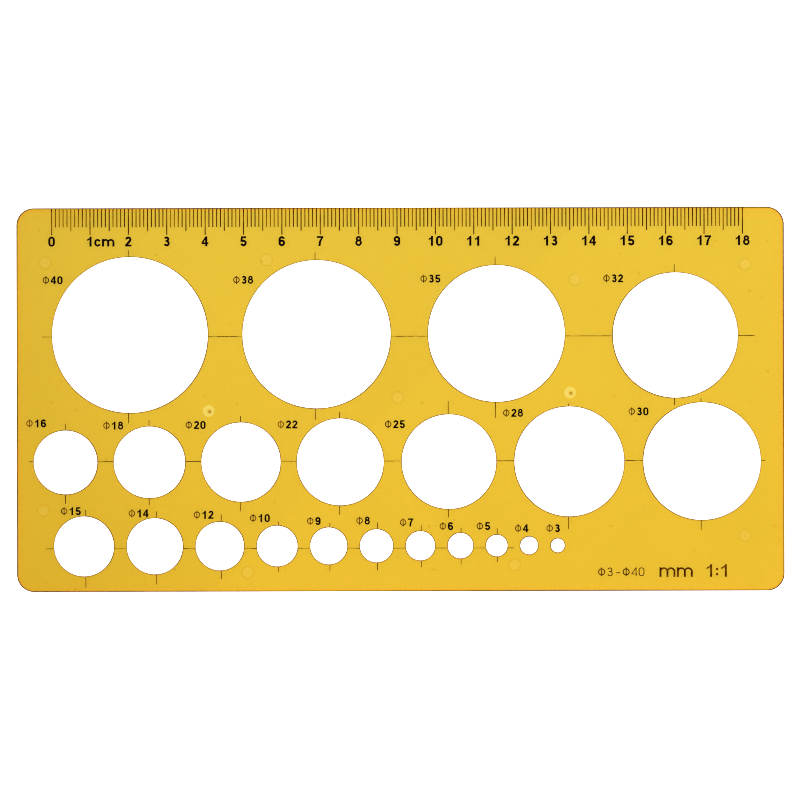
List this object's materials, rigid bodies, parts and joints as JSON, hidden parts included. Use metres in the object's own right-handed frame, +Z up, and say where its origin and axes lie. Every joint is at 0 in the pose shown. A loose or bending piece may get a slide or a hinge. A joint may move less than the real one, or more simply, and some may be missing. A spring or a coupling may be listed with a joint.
{
  "type": "circle template",
  "caption": "Thin transparent amber plastic plate with graded round holes in three rows for drawing circles, and a printed centimetre ruler along its top edge.",
  "frame": {"origin": "centre of the underside", "axes": "+X along the length to the right of the printed face, +Y towards the ruler edge, +Z up out of the printed face"},
  "size_m": [0.2, 0.1, 0.0012],
  "materials": {
    "amber_plastic": "transparent amber, smooth moulded gloss",
    "printed_ink": "thin dark brown-black screen print"
  },
  "bodies": {
    "root": {"template_plate": "amber_plastic", "millimetre_marks": "printed_ink", "half_centimetre_marks": "printed_ink", "centimetre_marks": "printed_ink", "scale_numerals": "printed_ink", "scale_unit": "printed_ink", "row_centre_lines": "printed_ink", "hole_centre_ticks": "printed_ink", "diameter_symbols": "printed_ink", "diameter_numerals": "printed_ink", "size_range_note": "printed_ink"}
  },
  "joints": []
}
